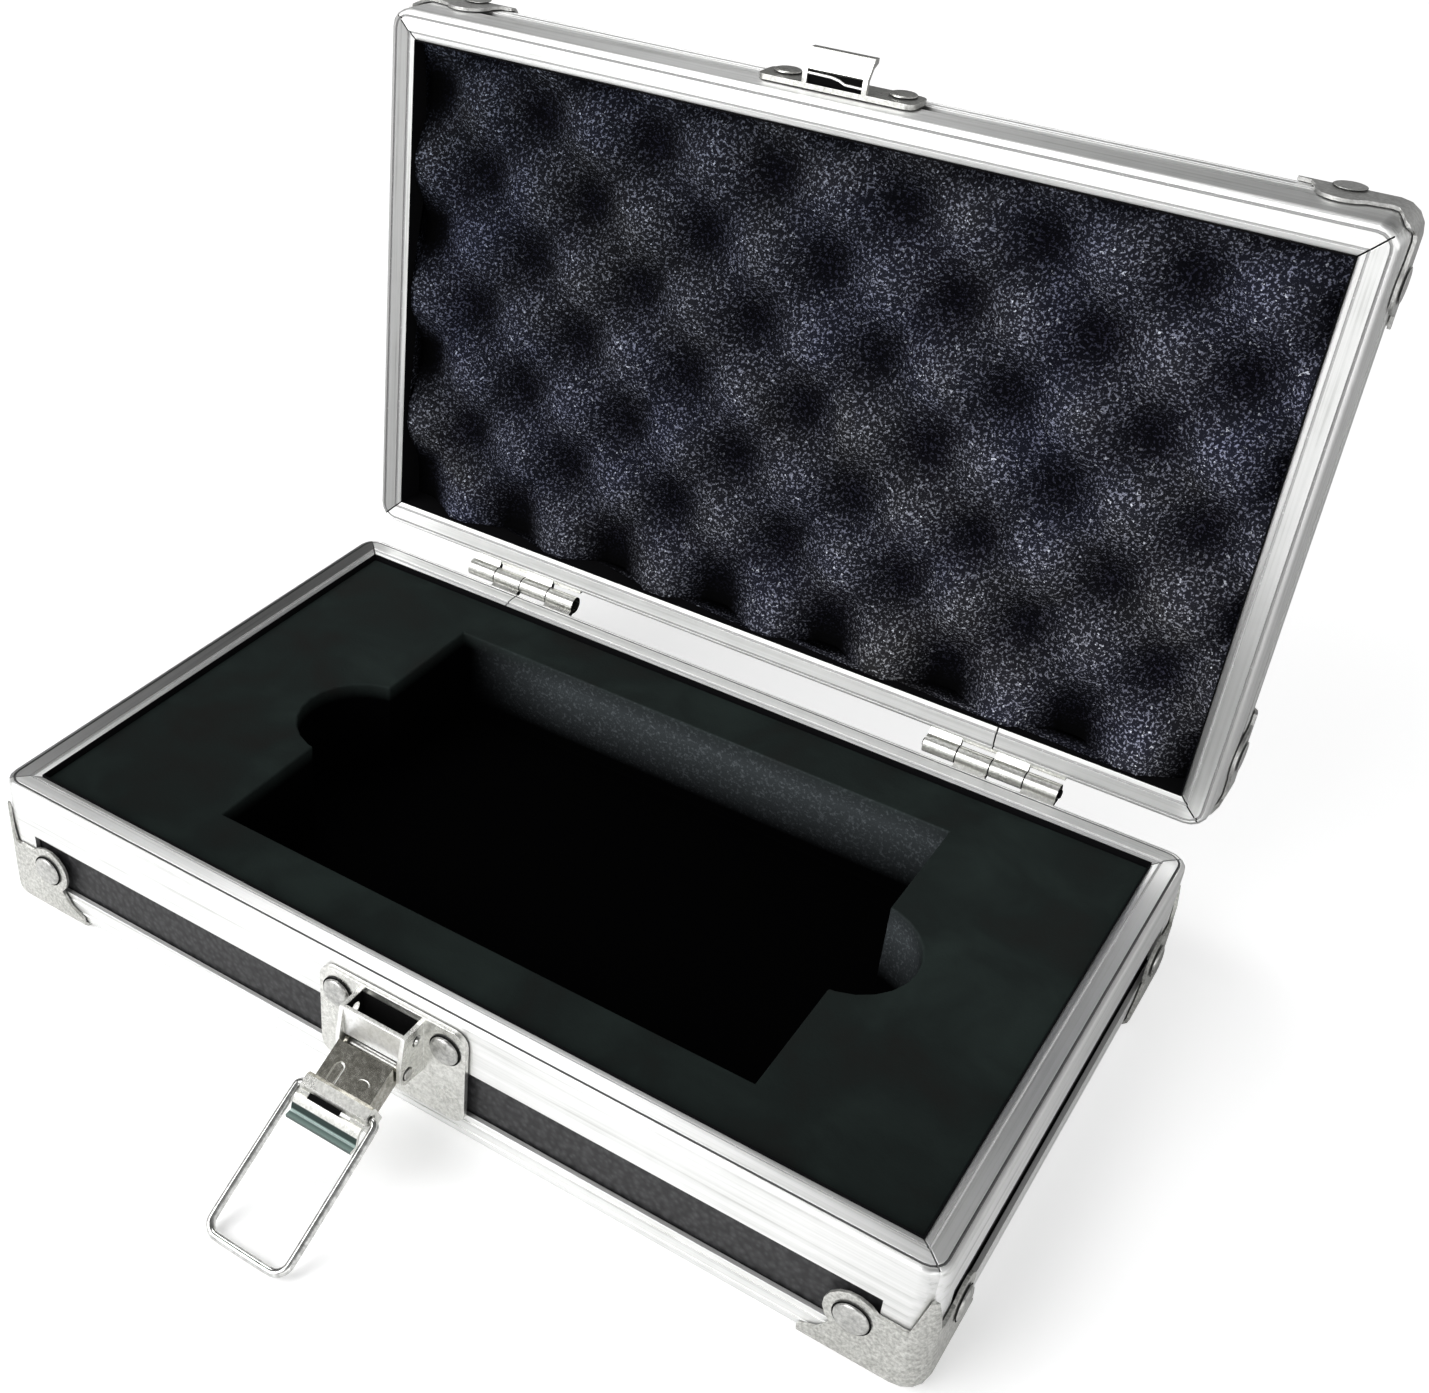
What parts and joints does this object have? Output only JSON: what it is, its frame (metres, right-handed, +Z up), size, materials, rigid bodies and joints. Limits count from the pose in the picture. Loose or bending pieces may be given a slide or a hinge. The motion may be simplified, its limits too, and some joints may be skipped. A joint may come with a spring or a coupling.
{
  "type": "card display case",
  "caption": "Small hinged case with an aluminium frame, black panels, steel corners, a draw latch, a foam block with a card pocket below and egg crate foam in the lid.",
  "frame": {"origin": "on the plane that the corner protectors stand on, at the middle of the open case's length and of its reach from the wire bail to the back of the lid, 9.2 mm in front of the base's middle", "axes": "+Z up, +X to the right along the case's front, +Y to the rear, where the lid is hinged; the lid is open at rest"},
  "size_m": [0.2242, 0.2062, 0.1743],
  "materials": {
    "aluminium": "satin, drawn with fine lines along the strips",
    "plated_steel": "dull plated with a fine grain",
    "rivet_steel": "dull plated",
    "bright_steel": "bright plated",
    "panel_facing": "fine leather grain",
    "base_foam": "matt, dense closed foam",
    "lid_foam": "matt, open cells that glint"
  },
  "bodies": {
    "base": {"base_rim_strip": "aluminium", "base_edge_strip": "aluminium", "base_bottom_panel": "panel_facing", "base_front_panel": "panel_facing", "base_rear_panel": "panel_facing", "base_left_panel": "panel_facing", "base_right_panel": "panel_facing", "base_protector_front_left": "plated_steel", "base_rivet_front_left_front": "rivet_steel", "base_rivet_front_left_end": "rivet_steel", "base_protector_front_right": "plated_steel", "base_rivet_front_right_front": "rivet_steel", "base_rivet_front_right_end": "rivet_steel", "base_protector_rear_left": "plated_steel", "base_rivet_rear_left_rear": "rivet_steel", "base_rivet_rear_left_end": "rivet_steel", "base_protector_rear_right": "plated_steel", "base_rivet_rear_right_rear": "rivet_steel", "base_rivet_rear_right_end": "rivet_steel", "base_foam": "base_foam", "hinge_left_base_leaf": "bright_steel", "hinge_left_pin": "rivet_steel", "hinge_right_base_leaf": "bright_steel", "hinge_right_pin": "rivet_steel", "latch_plate": "bright_steel", "latch_pivot_pin": "rivet_steel", "latch_rivet_left": "rivet_steel", "latch_rivet_right": "rivet_steel"},
    "lid": {"lid_rim_strip": "aluminium", "lid_edge_strip": "aluminium", "lid_top_panel": "panel_facing", "lid_front_panel": "panel_facing", "lid_rear_panel": "panel_facing", "lid_left_panel": "panel_facing", "lid_right_panel": "panel_facing", "lid_protector_front_left": "plated_steel", "lid_rivet_front_left_front": "rivet_steel", "lid_rivet_front_left_end": "rivet_steel", "lid_protector_front_right": "plated_steel", "lid_rivet_front_right_front": "rivet_steel", "lid_rivet_front_right_end": "rivet_steel", "lid_protector_rear_left": "plated_steel", "lid_rivet_rear_left_rear": "rivet_steel", "lid_rivet_rear_left_end": "rivet_steel", "lid_protector_rear_right": "plated_steel", "lid_rivet_rear_right_rear": "rivet_steel", "lid_rivet_rear_right_end": "rivet_steel", "lid_foam": "lid_foam", "hinge_left_lid_leaf": "bright_steel", "hinge_right_lid_leaf": "bright_steel", "catch_plate": "bright_steel", "catch_rivet_left": "rivet_steel", "catch_rivet_right": "rivet_steel"},
    "lever": {"latch_lever": "bright_steel"},
    "bail": {"latch_bail": "bright_steel"}
  },
  "joints": [
    {"name": "lid_hinge", "type": "hinge", "parent": "base", "child": "lid", "pos_m": [0, 0.07869, 0.03165], "axis": [1, 0, 0], "range_deg": [0, 92.5]},
    {"name": "lever_pivot", "type": "hinge", "parent": "base", "child": "lever", "pos_m": [-0.0018, -0.06281, 0.019], "axis": [1, 0, 0], "range_deg": [0, 74]},
    {"name": "bail_swing", "type": "hinge", "parent": "lever", "child": "bail", "pos_m": [-0.0018, -0.0741, 0.01638], "axis": [1, 0, 0], "range_deg": [-199, 0]}
  ],
  "couplings": [
    {"joint": "bail_swing", "follows": "lever_pivot", "ratio": -2.6888}
  ]
}
